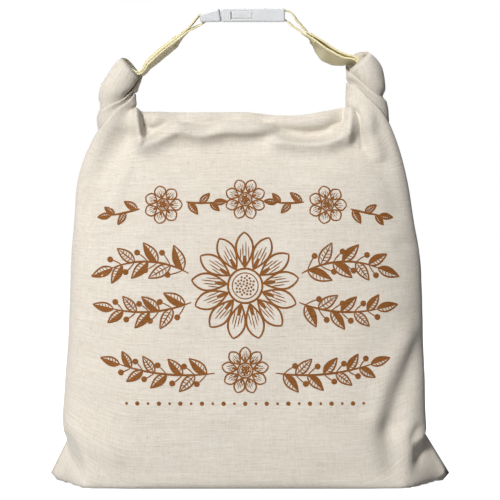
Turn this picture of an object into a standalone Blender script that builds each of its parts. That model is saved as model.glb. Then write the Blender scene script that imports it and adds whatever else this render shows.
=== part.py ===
"""A roll-top cotton bread bag that stands on its boxed base.

The bag is one cloth, folded at the base and sewn up both sides. Its mouth is rolled backwards, both ends of
the roll are bent up, and a webbing strap comes out of each end. A side-release buckle joins the straps above
the roll, where they make a carrying handle.

Metres, +Z up, front at -Y, origin on the floor under the middle of the base.
"""

import math

import bpy
import numpy as np
from mathutils import Matrix, Vector

# The cloth
CLOTH = 0.0012            # thickness
FLAT_HALF = 0.150         # half the bag's flat width, seam to seam
LAYER_GAP = 0.0018        # between the middles of the front and the back cloth where they lie together

# The boxed base
BASE_HALF_DEPTH = 0.035
BASE_CORNER = {-1: 0.121, 1: 0.114}    # distance from the middle to the left and right front corners
EAR_ROOT = 0.115          # x where the folded corner leaves the middle fold of the base
EAR_HEEL = (0.1440, 0.0012)   # x, z where its lower edge turns up
EAR_TIP = (0.1491, 0.0070)    # x, z of the corner's tip
EAR_HALF_GAP = 0.0013         # between the middle plane of the folded corner and its cloth
EAR_TOP = {-1: (0.1370, 0.0315), 1: (0.1308, 0.0370)}  # x, z where the side seam leaves it, left and right
BASE_ROWS = (0.35, 0.7, 1.0)  # rows of the base, as shares of its half depth

# The walls, a row for each ring: height at the front and at the seam, middle, half width and depth, squareness
WALL_COLUMNS = ("front", "seam", "middle", "half_width", "half_depth", "square")
WALLS = (
    (0.010, 0.043, -0.0036, 0.1348, 0.0375, 4.0),
    (0.026, 0.053, -0.0042, 0.1348, 0.0390, 3.6),
    (0.045, 0.066, -0.0040, 0.1343, 0.0400, 3.2),
    (0.068, 0.084, -0.0036, 0.1337, 0.0405, 3.0),
    (0.092, 0.104, -0.0032, 0.1325, 0.0400, 2.9),
    (0.118, 0.126, -0.0030, 0.1317, 0.0390, 2.8),
    (0.144, 0.149, -0.0030, 0.1310, 0.0370, 2.7),
    (0.170, 0.172, -0.0034, 0.1298, 0.0345, 2.6),
    (0.194, 0.194, -0.0044, 0.1270, 0.0317, 2.5),
    (0.214, 0.214, -0.0053, 0.1250, 0.0290, 2.4),
)

# From the top wall ring to the roll
SHOULDER_ROWS = (0.14, 0.29, 0.45, 0.61, 0.77, 0.90)
SHOULDER_RISE = 0.070     # how firmly the walls run on upwards
SHOULDER_END = 0.050      # how firmly the cloth meets the roll

# The roll's middle line, from its middle outwards on each side: length and upward turn of each stretch
ROLL_MIDDLE = (-0.006, 0.003, 0.2668)
ROLL_HALVES = {
    -1: ((0.078, 0), (0.0251, 90), (0.002, 0), (0.0225, 40), (0.006, 0)),
    1: ((0.078, 0), (0.0236, 90), (0.012, 0), (0.0237, 38), (0.006, 0)),
}
ROLL_STRAIGHT = 0.078

# The roll's section by the distance along its middle line: half its height and depth, how many of its turns
# have ended there, the distance from one turn to the next, two cloths in each, and its shift into the bend
ROLL_COLUMNS = ("reach", "rise", "depth", "ended", "pitch", "shift")
ROLL = (
    (0.000, 0.0100, 0.0170, 0.0, 0.0036, 0.0000),
    (0.060, 0.0101, 0.0170, 0.0, 0.0036, 0.0000),
    (0.078, 0.0108, 0.0170, 0.0, 0.0037, 0.0000),
    (0.090, 0.0120, 0.0171, 0.0, 0.0038, -0.0005),
    (0.103, 0.0136, 0.0176, 0.1, 0.0038, -0.0018),
    (0.112, 0.0142, 0.0188, 0.5, 0.0038, -0.0020),
    (0.122, 0.0130, 0.0200, 1.1, 0.0038, -0.0010),
    (0.134, 0.0104, 0.0174, 1.6, 0.0038, 0.0000),
    (0.145, 0.0100, 0.0170, 1.7, 0.0038, 0.0000),
)

# How far along the roll's middle line the side seams reach, turn by turn from the neck to the mouth
SEAM_COLUMNS = ("turn", "left", "right")
SEAM = (
    (-0.08, 0.0950, 0.0960),
    (0.05, 0.1040, 0.1060),
    (0.17, 0.1115, 0.1145),
    (0.30, 0.1125, 0.1150),
    (0.50, 0.1070, 0.1100),
    (0.70, 0.1000, 0.1030),
    (0.85, 0.1020, 0.1040),
    (1.00, 0.1160, 0.1145),
    (1.17, 0.1205, 0.1270),
    (1.35, 0.1235, 0.1280),
    (1.55, 0.1245, 0.1280),
    (1.75, 0.1305, 0.1300),
    (1.90, 0.1325, 0.1320),
    (2.05, 0.1290, 0.1340),
    (2.17, 0.1250, 0.1345),
    (2.25, 0.1240, 0.1340),
)
ROLL_START = -1 / 24      # the turn at which the cloth meets the roll, a little below its front
ROWS_A_TURN = 12
ROLL_ROWS = 27
# Shares of a turn at which the roll's flattened section goes from its front round to its top, and so on
TOP_START, TOP_END, BOTTOM_START, BOTTOM_END = 2 / 12, 4 / 12, 8 / 12, 10 / 12

# Threads that run up the cloth, as distances from its middle on the flat cloth
THREADS = (0.0, 0.022, 0.044, 0.062, 0.078, 0.087, 0.096, 0.105, 0.114, 0.123, 0.132, 0.140, 0.1465, 0.150)

# Folds pressed into the walls: from and to as x, z in the front view, then half width and depth in
FOLD_COLUMNS = ("from_x", "from_z", "to_x", "to_z", "half_width", "depth")
FRONT_FOLDS = (
    (-0.092, 0.257, -0.112, 0.228, 0.010, 0.0040),
    (-0.112, 0.228, -0.118, 0.206, 0.010, 0.0030),
    (0.083, 0.262, 0.087, 0.240, 0.007, 0.0030),
    (0.128, 0.106, 0.112, 0.070, 0.012, 0.0035),
    (0.112, 0.070, 0.106, 0.030, 0.014, 0.0045),
)

# The webbing straps
WEBBING = 0.0013
WEBBING_WIDTH = 0.025
STRAP_ROWS_ACROSS = 4
STRAP_STEP = 0.005
TONGUE_REACH = (0.0065, 0.0030, -0.0005)  # how deep the straps' ends lie in the roll's ends
TONGUE_HALF_GAP = 0.0009
STRAP_COLUMNS = ("x", "z", "half_gap", "twist")
STRAPS = {
    "strap_left": (
        (-0.0858, 0.3130, 0.0009, 4),
        (-0.0770, 0.3155, 0.0013, 1),
        (-0.0684, 0.3199, 0.0016, -2),
        (-0.0590, 0.3270, 0.0012, 3),
        (-0.0512, 0.3337, 0.0012, 8),
        (-0.0448, 0.3396, 0.0024, 9),
    ),
    "strap_right": (
        (0.0700, 0.3172, 0.0014, -6),
        (0.0610, 0.3210, 0.0018, -11),
        (0.0542, 0.3259, 0.0018, -8),
        (0.0482, 0.3317, 0.0012, 0),
        (0.0407, 0.3381, 0.0012, 8),
        (0.0340, 0.3440, 0.0026, 9),
    ),
}

# The buckle lies flat, its width along Y, so that its edge faces the front
BUCKLE_WIDTH = 0.033
BUCKLE_DEPTH = 0.010
BUCKLE_Z = 0.3505
BUCKLE_TILT = 9.0         # degrees that its far side is raised
BUCKLE_Y = ROLL_MIDDLE[1]
BAR = 0.0032              # the bars that the straps go round, square with rounded edges
SLOT = 0.0046             # length of each bar's slot
SLOT_WIDTH = 0.0264
CLEARANCE = 0.0003
MALE_X = (-0.0374, -0.0223)
MALE_TILT = 8.0           # degrees that the half with the prongs drops towards its strap
SOCKET_X = (-0.0212, 0.026)
SOCKET_WALL = 0.0018
SOCKET_DEPTH = 0.030      # length of its hollow
WINDOW_X = (-0.0145, 0.0025)
WINDOW_HEIGHT = 0.0062
PRONG_HEIGHT = 0.0050
PRONG_WIDTH = 0.0050
TONGUE_WIDTH = 0.0070
GROOVE_X = 0.0095
ROUNDING = 0.0012

BACK, FRONT = 1, -1
LEFT, RIGHT = -1, 1


def clear_scene():
    for obj in list(bpy.data.objects):
        bpy.data.objects.remove(obj)


def column(table, columns, name):
    return np.array([row[columns.index(name)] for row in table])


def smooth_step(value):
    value = min(max(value, 0.0), 1.0)
    return value * value * (3 - 2 * value)


def smooth_through(at, knots, values):
    """The smooth curve through the values, read at one place."""
    slopes = np.gradient(values, knots)
    index = int(np.clip(np.searchsorted(knots, at) - 1, 0, len(knots) - 2))
    span = knots[index + 1] - knots[index]
    share = min(max((at - knots[index]) / span, 0.0), 1.0)
    rise = smooth_step(share)
    start = values[index] + slopes[index] * span * share
    end = values[index + 1] - slopes[index + 1] * span * (1 - share)
    return start * (1 - rise) + end * rise


def along_polyline(points, share):
    """The point at this share of the length of a run of straight stretches."""
    points = np.array(points, float)
    lengths = np.linalg.norm(np.diff(points, axis=0), axis=1)
    marks = np.concatenate([[0.0], np.cumsum(lengths)]) / lengths.sum()
    return np.array([np.interp(share, marks, points[:, axis]) for axis in range(points.shape[1])])


def quarter_ring(half_width, half_depth, square, share):
    """x and y on a quarter of a rounded rectangle, from its front middle to its seam."""
    angles = np.linspace(math.pi / 2, 0, 60)
    outline = np.stack(
        [
            half_width * np.abs(np.cos(angles)) ** (2 / square),
            half_depth * np.abs(np.sin(angles)) ** (2 / square),
        ],
        axis=1,
    )
    return along_polyline(outline, share)


def base_point(thread, row, side, face):
    """A point of the base: rows run from its middle fold to its front or back edge."""
    seam_x, seam_z = (tip + (top - tip) * row for tip, top in zip(EAR_TIP, EAR_TOP[side]))
    corner_x = EAR_ROOT + (BASE_CORNER[side] - EAR_ROOT) * row
    depth = BASE_HALF_DEPTH * row
    floor = CLOTH / 2
    if row:
        run = ((0, depth, floor), (corner_x, depth, floor), (seam_x, 0, seam_z))
    else:
        run = ((0, 0, floor), (EAR_HEEL[0], 0, EAR_HEEL[1]), (seam_x, 0, seam_z))
    x, y, z = along_polyline(run, thread / FLAT_HALF)
    if row and thread < FLAT_HALF:
        y = max(y, EAR_HALF_GAP)
    return np.array([side * x, face * y, z])


def fold_depth(x, z):
    """How far the folds press the cloth in at this place of the front."""
    total = 0.0
    for from_x, from_z, to_x, to_z, half_width, depth in FRONT_FOLDS:
        line = np.array([to_x - from_x, to_z - from_z])
        offset = np.array([x - from_x, z - from_z])
        share = min(max(offset @ line / (line @ line), 0.0), 1.0)
        distance = np.linalg.norm(offset - share * line) / half_width
        total += depth * math.exp(-distance * distance)
    return total


def wall_point(thread, ring, side, face):
    front, seam, middle, half_width, half_depth, square = ring
    share = thread / FLAT_HALF
    x, y = quarter_ring(half_width, half_depth, square, share)
    z = front + (seam - front) * smooth_step((share - 0.5) / 0.5)
    point = np.array([middle + side * x, face * y, z])
    if face == FRONT:
        point[1] += fold_depth(point[0], z) * smooth_step(y / 0.012)
    return point


def roll_line(reach, side):
    """The roll's middle line at this distance from its middle, and the way to the inside of its bend."""
    x, z, turned = 0.0, 0.0, 0.0
    left = reach
    for length, turn in ROLL_HALVES[side]:
        step = min(left, length)
        angle = math.radians(turn) * step / length
        if turn:
            radius = length / math.radians(turn)
            ahead, inwards = radius * math.sin(angle), radius * (1 - math.cos(angle))
        else:
            ahead, inwards = step, 0.0
        x += ahead * math.cos(turned) - inwards * math.sin(turned)
        z += ahead * math.sin(turned) + inwards * math.cos(turned)
        turned += angle
        left -= step
    x += left * math.cos(turned)
    z += left * math.sin(turned)
    middle = np.array([ROLL_MIDDLE[0] + side * x, ROLL_MIDDLE[1], ROLL_MIDDLE[2] + z])
    return middle, np.array([-side * math.sin(turned), 0.0, math.cos(turned)])


def flattened_turn(rise, depth, share):
    """Place and outward normal, up and back, on a turn with straight top and bottom and round ends."""
    flat = depth - rise
    if TOP_START <= share <= TOP_END:
        across = (share - TOP_START) / (TOP_END - TOP_START)
        return (rise, flat * (2 * across - 1)), (1.0, 0.0)
    if BOTTOM_START <= share <= BOTTOM_END:
        across = (share - BOTTOM_START) / (BOTTOM_END - BOTTOM_START)
        return (-rise, flat * (1 - 2 * across)), (-1.0, 0.0)
    if TOP_END < share < BOTTOM_START:
        angle = math.pi * (share - TOP_END) / (BOTTOM_START - TOP_END)
        normal = (math.cos(angle), math.sin(angle))
        return (rise * normal[0], flat + rise * normal[1]), normal
    after_front = share if share < TOP_START else share - 1
    angle = math.pi / 2 * after_front / TOP_START
    normal = (math.sin(angle), -math.cos(angle))
    return (rise * normal[0], rise * normal[1] - flat), normal


def roll_point(thread, turn, side, face):
    """A point of the rolled cloth. The front cloth lies outside, and both close at the seam."""
    turns = column(SEAM, SEAM_COLUMNS, "turn")
    seam = smooth_through(turn, turns, column(SEAM, SEAM_COLUMNS, "left" if side == LEFT else "right"))
    reach = thread
    if thread > ROLL_STRAIGHT:
        reach = ROLL_STRAIGHT + (seam - ROLL_STRAIGHT) * (thread - ROLL_STRAIGHT) / (FLAT_HALF - ROLL_STRAIGHT)
    knots = column(ROLL, ROLL_COLUMNS, "reach")
    rise, depth, ended, pitch, shift = (
        smooth_through(reach, knots, column(ROLL, ROLL_COLUMNS, name)) for name in ROLL_COLUMNS[1:]
    )
    inside = pitch * (turn - ended)
    (up, out), normal = flattened_turn(rise - inside, depth - inside, turn % 1.0)
    layer = 0.0 if thread == FLAT_HALF else -face * LAYER_GAP / 2
    middle, inwards = roll_line(reach, side)
    return middle + inwards * (up + shift + normal[0] * layer) + np.array([0, out + normal[1] * layer, 0])


def shoulder_point(thread, share, side, face):
    """A point between the top wall ring and the roll, on a smooth curve that leaves one and meets the other."""
    start = wall_point(thread, WALLS[-1], side, face)
    before = wall_point(thread, WALLS[-2], side, face)
    end = roll_point(thread, ROLL_START, side, face)
    after = roll_point(thread, ROLL_START + 0.02, side, face)
    leaves = (start - before) / np.linalg.norm(start - before) * SHOULDER_RISE
    meets = (after - end) / np.linalg.norm(after - end) * SHOULDER_END
    square, cube = share * share, share ** 3
    point = (
        (2 * cube - 3 * square + 1) * start
        + (cube - 2 * square + share) * leaves
        + (3 * square - 2 * cube) * end
        + (cube - square) * meets
    )
    if face == FRONT:
        point[1] += fold_depth(point[0], point[2]) * (1 - smooth_step(share))
    return point


def cloth_rows():
    """Functions of thread, side and face, one for each row of points from the base to the mouth."""
    rows = [lambda t, s, f, row=row: base_point(t, row, s, f) for row in BASE_ROWS]
    rows += [lambda t, s, f, ring=ring: wall_point(t, ring, s, f) for ring in WALLS]
    rows += [lambda t, s, f, share=share: shoulder_point(t, share, s, f) for share in SHOULDER_ROWS]
    turns = [ROLL_START] + [row / ROWS_A_TURN for row in range(ROLL_ROWS + 1)]
    return rows + [lambda t, s, f, turn=turn: roll_point(t, turn, s, f) for turn in turns]


def ring_places():
    """Thread, side and face of each point round a row: the front from left to right, then the back."""
    across = [(t, LEFT) for t in reversed(THREADS)] + [(t, RIGHT) for t in THREADS[1:]]
    front = [(t, side, FRONT) for t, side in across]
    back = [(t, side, BACK) for t, side in reversed(across)]
    return front + back[1:-1]


def mesh_object(name, points, faces, material, collection):
    mesh = bpy.data.meshes.new(name)
    mesh.from_pydata([tuple(point) for point in points], [], faces)
    mesh.validate()
    mesh.shade_smooth()
    mesh.materials.append(material)
    obj = bpy.data.objects.new(name, mesh)
    collection.objects.link(obj)
    return obj


def add_thickness(obj, thickness):
    shell = obj.modifiers.new("Thickness", "SOLIDIFY")
    shell.thickness = thickness
    shell.offset = 0


def make_bag_cloth(material, collection):
    places = ring_places()
    around = len(places)
    half = around // 2
    fold = [base_point(t, 0.0, side, FRONT) for t, side, _ in places[: half + 1]]
    points = list(fold)
    for row in cloth_rows():
        points += [row(*place) for place in places]
    first_row = len(fold)
    faces = []
    for step in range(around):
        after = (step + 1) % around
        low = [step if step <= half else around - step, after if after <= half else around - after]
        high = [first_row + step, first_row + after]
        if low[0] in (0, half):
            faces += [(low[0], low[1], high[1]), (low[0], high[1], high[0])]
        elif low[1] in (0, half):
            faces += [(low[1], high[1], high[0]), (low[1], high[0], low[0])]
        else:
            faces.append((low[0], low[1], high[1], high[0]))
    rows = (len(points) - first_row) // around
    for row in range(rows - 1):
        base = first_row + row * around
        for step in range(around):
            after = (step + 1) % around
            faces.append((base + step, base + after, base + around + after, base + around + step))
    bag = mesh_object("bag_cloth", points, faces, material, collection)
    add_thickness(bag, CLOTH)
    return bag


def strap_stations(name, bar_x, side):
    """Centre, width direction and place of each station: up the lower ply, round the bar, back down the upper."""
    end = SEAM[-1][SEAM_COLUMNS.index("left" if side == LEFT else "right")]
    tongue = [roll_line(end - reach, side)[0] for reach in TONGUE_REACH]
    table = [(point[0], point[2], TONGUE_HALF_GAP, 0) for point in tongue] + list(STRAPS[name])
    middle = np.array([[row[0], row[1]] for row in table])
    heading = np.gradient(middle, axis=0)
    heading /= np.linalg.norm(heading, axis=1)[:, None]
    plies = {1: [], -1: []}
    for (x, z, half_gap, twist), ahead in zip(table, heading):
        angle = math.radians(twist)
        normal = np.array([-ahead[1], 0, ahead[0]]) * (1 if ahead[0] > 0 else -1)
        wide = np.array([0, math.cos(angle), 0]) + normal * math.sin(angle)
        lift = normal * math.cos(angle) - np.array([0, math.sin(angle), 0])
        for ply in plies:
            plies[ply].append((np.array([x, BUCKLE_Y, z]) + ply * half_gap * lift, wide))
    radius = BAR * math.sqrt(0.5) + CLEARANCE + WEBBING / 2
    centre = np.array([bar_x, BUCKLE_Y, bar_height(side)])
    rotation = np.array(Matrix.Rotation(math.radians(BUCKLE_TILT), 3, "X"))
    loop = []
    for degrees in range(-90, 91, 30):
        angle = math.radians(degrees)
        around = np.array([-side * math.cos(angle), 0, math.sin(angle)])
        loop.append((centre + radius * (rotation @ around), rotation @ np.array([0.0, 1.0, 0.0])))
    return plies[-1] + loop + plies[1][::-1]


def bar_height(side):
    if side == RIGHT:
        return BUCKLE_Z
    reach = MALE_X[1] - MALE_X[0]
    return BUCKLE_Z - math.sin(math.radians(MALE_TILT)) * reach


def smoothed(stations, longest):
    """The stations with more between them where they lie far apart, on a smooth curve."""
    flat = np.array([np.concatenate(station) for station in stations])
    spans = np.linalg.norm(np.diff(flat[:, :3], axis=0), axis=1)
    knots = np.concatenate([[0.0], np.cumsum(spans)])
    marks = [knots[0]]
    for start, span in zip(knots, spans):
        parts = math.ceil(span / longest)
        marks += [start + span * (part + 1) / parts for part in range(parts)]
    result = []
    for at in marks:
        values = np.array([smooth_through(at, knots, flat[:, axis]) for axis in range(6)])
        result.append((values[:3], values[3:] / np.linalg.norm(values[3:])))
    return result


def make_strap(name, bar_x, side, material, collection):
    stations = smoothed(strap_stations(name, bar_x, side), STRAP_STEP)
    across = np.linspace(-WEBBING_WIDTH / 2, WEBBING_WIDTH / 2, STRAP_ROWS_ACROSS + 1)
    points = [centre + wide * offset for centre, wide in stations for offset in across]
    wide = len(across)
    faces = [
        (row * wide + i, row * wide + i + 1, (row + 1) * wide + i + 1, (row + 1) * wide + i)
        for row in range(len(stations) - 1)
        for i in range(wide - 1)
    ]
    strap = mesh_object(name, points, faces, material, collection)
    add_thickness(strap, WEBBING)
    return strap


def box(name, low, high, collection, material=None):
    """A box between two corners, its scale applied."""
    bpy.ops.mesh.primitive_cube_add(size=1)
    obj = bpy.context.object
    obj.name = name
    low, high = np.array(low), np.array(high)
    corners = np.empty(len(obj.data.vertices) * 3)
    obj.data.vertices.foreach_get("co", corners)
    corners = corners.reshape(-1, 3) * (high - low) + (low + high) / 2
    obj.data.vertices.foreach_set("co", corners.ravel())
    for old in list(obj.users_collection):
        old.objects.unlink(obj)
    collection.objects.link(obj)
    if material:
        obj.data.materials.append(material)
    return obj


def cutter(name, low, high, cutters):
    obj = box(name, low, high, cutters)
    obj.hide_render = True
    obj.display_type = "WIRE"
    return obj


def combine(obj, others, operation):
    for other in others:
        step = obj.modifiers.new(other.name, "BOOLEAN")
        step.operation = operation
        step.object = other


def round_edges(obj, width, segments=2):
    step = obj.modifiers.new("Rounding", "BEVEL")
    step.width = width
    step.segments = segments
    step.limit_method = "ANGLE"


def slab(x, half_width, half_height, centre_z=BUCKLE_Z):
    """Corners of a box centred on the buckle's middle plane."""
    return (
        (x[0], BUCKLE_Y - half_width, centre_z - half_height),
        (x[1], BUCKLE_Y + half_width, centre_z + half_height),
    )


def make_socket(material, collection, cutters):
    socket = box("buckle_female", *slab(SOCKET_X, BUCKLE_WIDTH / 2, BUCKLE_DEPTH / 2), collection, material)
    round_edges(socket, ROUNDING)
    half_hollow = BUCKLE_WIDTH / 2 - SOCKET_WALL
    start = SOCKET_X[0]
    hollow = cutter(
        "hollow_cutter",
        *slab((start - 0.002, start + SOCKET_DEPTH), half_hollow, BUCKLE_DEPTH / 2 - SOCKET_WALL),
        cutters,
    )
    window = cutter("window_cutter", *slab(WINDOW_X, BUCKLE_WIDTH, WINDOW_HEIGHT / 2), cutters)
    slot_end = SOCKET_X[1] - BAR
    slot = cutter("socket_slot_cutter", *slab((slot_end - SLOT, slot_end), SLOT_WIDTH / 2, BUCKLE_DEPTH), cutters)
    thin = [
        cutter(
            f"bar_{word}_cutter",
            (slot_end - SLOT, BUCKLE_Y - SLOT_WIDTH / 2, BUCKLE_Z + low),
            (SOCKET_X[1] + 0.001, BUCKLE_Y + SLOT_WIDTH / 2, BUCKLE_Z + high),
            cutters,
        )
        for word, low, high in (("under", -BUCKLE_DEPTH, -BAR / 2), ("over", BAR / 2, BUCKLE_DEPTH))
    ]
    grooves = [
        cutter(f"groove_{word}_cutter", *slab((GROOVE_X, GROOVE_X + 0.0008), BUCKLE_WIDTH, 0.0006, z), cutters)
        for word, z in (("under", BUCKLE_Z - BUCKLE_DEPTH / 2), ("over", BUCKLE_Z + BUCKLE_DEPTH / 2))
    ]
    combine(socket, [hollow, window, slot, *thin, *grooves], "DIFFERENCE")
    return socket


def make_prongs(material, collection, cutters):
    """The half with the prongs: a slotted base, a middle tongue and two arms whose buttons fill the windows."""
    length = MALE_X[1] - MALE_X[0]
    base = box(
        "buckle_male",
        (-length, -BUCKLE_WIDTH / 2, -BUCKLE_DEPTH / 2),
        (0, BUCKLE_WIDTH / 2, BUCKLE_DEPTH / 2),
        collection,
        material,
    )
    for vertex in base.data.vertices:
        if vertex.co.x < -length / 2:
            vertex.co.z *= 0.62
            vertex.co.y *= 0.97
    round_edges(base, ROUNDING)
    slot_end = -length + BAR
    slot = cutter(
        "prong_slot_cutter",
        (slot_end, -SLOT_WIDTH / 2, -BUCKLE_DEPTH),
        (slot_end + SLOT, SLOT_WIDTH / 2, BUCKLE_DEPTH),
        cutters,
    )
    thin = [
        cutter(
            f"prong_bar_{word}_cutter",
            (-length - 0.001, -SLOT_WIDTH / 2, low),
            (slot_end + SLOT, SLOT_WIDTH / 2, high),
            cutters,
        )
        for word, low, high in (("under", -BUCKLE_DEPTH, -BAR / 2), ("over", BAR / 2, BUCKLE_DEPTH))
    ]
    combine(base, [slot, *thin], "DIFFERENCE")
    pieces = []
    tilt = math.radians(MALE_TILT)
    for part in (base, slot, *thin):
        part.location = (MALE_X[1], BUCKLE_Y, BUCKLE_Z)
        part.rotation_euler = (0, -tilt, 0)
    reach = WINDOW_X[1] - CLEARANCE - 0.0004
    inner = BUCKLE_WIDTH / 2 - SOCKET_WALL - CLEARANCE - 0.0004
    tongue = (MALE_X[1] - 0.004, reach - 0.003)
    pieces.append(
        cutter("tongue_piece", *slab(tongue, TONGUE_WIDTH / 2, PRONG_HEIGHT / 2), cutters)
    )
    for word, side in (("front", -1), ("back", 1)):
        edges = sorted((side * inner, side * (inner - PRONG_WIDTH)))
        pieces.append(
            cutter(
                f"arm_{word}_piece",
                (MALE_X[1] - 0.004, BUCKLE_Y + edges[0], BUCKLE_Z - PRONG_HEIGHT / 2),
                (reach, BUCKLE_Y + edges[1], BUCKLE_Z + PRONG_HEIGHT / 2),
                cutters,
            )
        )
        out = BUCKLE_WIDTH / 2 + 0.0006
        edges = sorted((side * (inner - 0.001), side * out))
        button = cutter(
            f"button_{word}_piece",
            (WINDOW_X[0] + 0.0008, BUCKLE_Y + edges[0], BUCKLE_Z - WINDOW_HEIGHT / 2 + 0.0006),
            (reach, BUCKLE_Y + edges[1], BUCKLE_Z + WINDOW_HEIGHT / 2 - 0.0006),
            cutters,
        )
        round_edges(button, ROUNDING * 0.7)
        pieces.append(button)
    combine(base, pieces, "UNION")
    return base


def tilt_buckle(pieces, collection):
    """Turns the buckle's pieces and their cutters about its long axis, on an empty at its middle."""
    middle = Vector((0, BUCKLE_Y, BUCKLE_Z))
    pivot = bpy.data.objects.new("buckle_pivot", None)
    pivot.location = middle
    pivot.rotation_euler = (math.radians(BUCKLE_TILT), 0, 0)
    collection.objects.link(pivot)
    for piece in pieces:
        piece.parent = pivot
        piece.matrix_parent_inverse = Matrix.Translation(-middle)


def plain_material(name, colour, roughness):
    material = bpy.data.materials.new(name)
    material.use_nodes = True
    shader = material.node_tree.nodes["Principled BSDF"]
    shader.inputs["Base Color"].default_value = (*colour, 1)
    shader.inputs["Roughness"].default_value = roughness
    shader.inputs["Metallic"].default_value = 0
    return material


def new_collection(name):
    collection = bpy.data.collections.new(name)
    bpy.context.scene.collection.children.link(collection)
    return collection


def main():
    clear_scene()
    bag = new_collection("bread_bag")
    cutters = new_collection("cutters")
    cloth = plain_material("waxed_cloth", (0.72, 0.66, 0.56), 0.85)
    webbing = plain_material("webbing", (0.66, 0.55, 0.28), 0.8)
    plastic = plain_material("white_plastic", (0.82, 0.83, 0.84), 0.35)
    make_bag_cloth(cloth, bag)
    prongs = make_prongs(plastic, bag, cutters)
    socket = make_socket(plastic, bag, cutters)
    tilt_buckle([prongs, socket, *cutters.objects], bag)
    make_strap("strap_left", MALE_X[0] + BAR / 2, LEFT, webbing, bag)
    make_strap("strap_right", SOCKET_X[1] - BAR / 2, RIGHT, webbing, bag)


main()
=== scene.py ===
import math

import bpy
import numpy as np
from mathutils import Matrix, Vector
from mathutils.bvhtree import BVHTree


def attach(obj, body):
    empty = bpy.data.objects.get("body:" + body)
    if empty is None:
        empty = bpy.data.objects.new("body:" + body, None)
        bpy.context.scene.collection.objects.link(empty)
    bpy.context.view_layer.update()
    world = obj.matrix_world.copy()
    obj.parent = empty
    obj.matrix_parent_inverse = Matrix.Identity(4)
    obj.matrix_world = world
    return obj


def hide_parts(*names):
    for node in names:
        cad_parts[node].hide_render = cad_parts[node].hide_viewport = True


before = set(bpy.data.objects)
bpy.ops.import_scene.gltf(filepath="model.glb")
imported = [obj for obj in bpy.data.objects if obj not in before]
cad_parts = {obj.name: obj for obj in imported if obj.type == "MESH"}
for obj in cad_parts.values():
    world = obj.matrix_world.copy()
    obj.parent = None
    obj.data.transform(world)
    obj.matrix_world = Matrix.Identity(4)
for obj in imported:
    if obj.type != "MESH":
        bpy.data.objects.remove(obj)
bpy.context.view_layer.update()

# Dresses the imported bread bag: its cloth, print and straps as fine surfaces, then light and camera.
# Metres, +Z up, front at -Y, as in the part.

FRONT, BACK = -1, 1
LEFT, RIGHT = -1, 1

# The cloth, with the part's own sizes but for its thickness
FLAT_HALF = 0.150         # half the flat width, from the front's middle to a side seam
SHEET = 0.0007
LAYER_GAP = 0.0011        # between the middles of the two layers in the roll
FLOOR_GAP = 0.0006        # from the floor to the middle of the base's cloth

# The base, by shares of the way from its middle fold to its front and back edges
BASE_HALF_DEPTH = 0.035
BASE_SHARES = (0.0, 0.14, 0.28, 0.42, 0.56, 0.70, 0.82, 0.91, 0.97, 1.0)
# Share and x along the sides of the base, which run from the ears to its corners
BASE_SIDES = {
    LEFT: ((0.0, 0.1435), (0.20, 0.1360), (0.66, 0.1276), (1.0, 0.1205)),
    RIGHT: ((0.0, 0.1435), (0.14, 0.1365), (0.66, 0.1240), (1.0, 0.1140)),
}
# The ears are the base's folded corners: x and z where one leaves the floor, at its tip and at its top
EAR_HEEL = (0.1440, 0.0012)
EAR_TIP = (0.1491, 0.0070)
EAR_TOP = {LEFT: (0.1370, 0.0315), RIGHT: (0.1308, 0.0370)}
EAR_HALF_GAP = 0.0013

# The walls: height at the front and at the seam, middle, half width and depth, squareness
WALL_COLUMNS = ("front", "seam", "middle", "half_width", "half_depth", "square")
WALLS = (
    (0.010, 0.043, -0.0036, 0.1348, 0.0375, 4.0),
    (0.026, 0.053, -0.0042, 0.1348, 0.0390, 3.6),
    (0.045, 0.066, -0.0040, 0.1343, 0.0400, 3.2),
    (0.068, 0.084, -0.0036, 0.1337, 0.0405, 3.0),
    (0.092, 0.104, -0.0032, 0.1325, 0.0400, 2.9),
    (0.118, 0.126, -0.0030, 0.1317, 0.0390, 2.8),
    (0.144, 0.149, -0.0030, 0.1310, 0.0370, 2.7),
    (0.170, 0.172, -0.0034, 0.1298, 0.0345, 2.6),
    (0.194, 0.194, -0.0044, 0.1270, 0.0317, 2.5),
    (0.214, 0.214, -0.0053, 0.1250, 0.0290, 2.4),
)
WALL_FOOT, WALL_TOP = 0.0035, 0.214
WALL_ROWS, SHOULDER_ROWS, ROLL_ROWS = 62, 25, 84
# How far the shoulder keeps on the way that the walls end, and comes the way that the roll starts
SHOULDER_LEAVES, SHOULDER_MEETS = 0.070, 0.050

# The roll's middle line: the middle of the bag, then length and degrees turned, piece by piece to each side
ROLL_MIDDLE = (-0.006, 0.003, 0.2668)
ROLL_HALVES = {
    LEFT: ((0.078, 0), (0.0251, 90), (0.002, 0), (0.0225, 40), (0.006, 0)),
    RIGHT: ((0.078, 0), (0.0236, 90), (0.012, 0), (0.0237, 38), (0.006, 0)),
}
ROLL_STRAIGHT = 0.078
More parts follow.
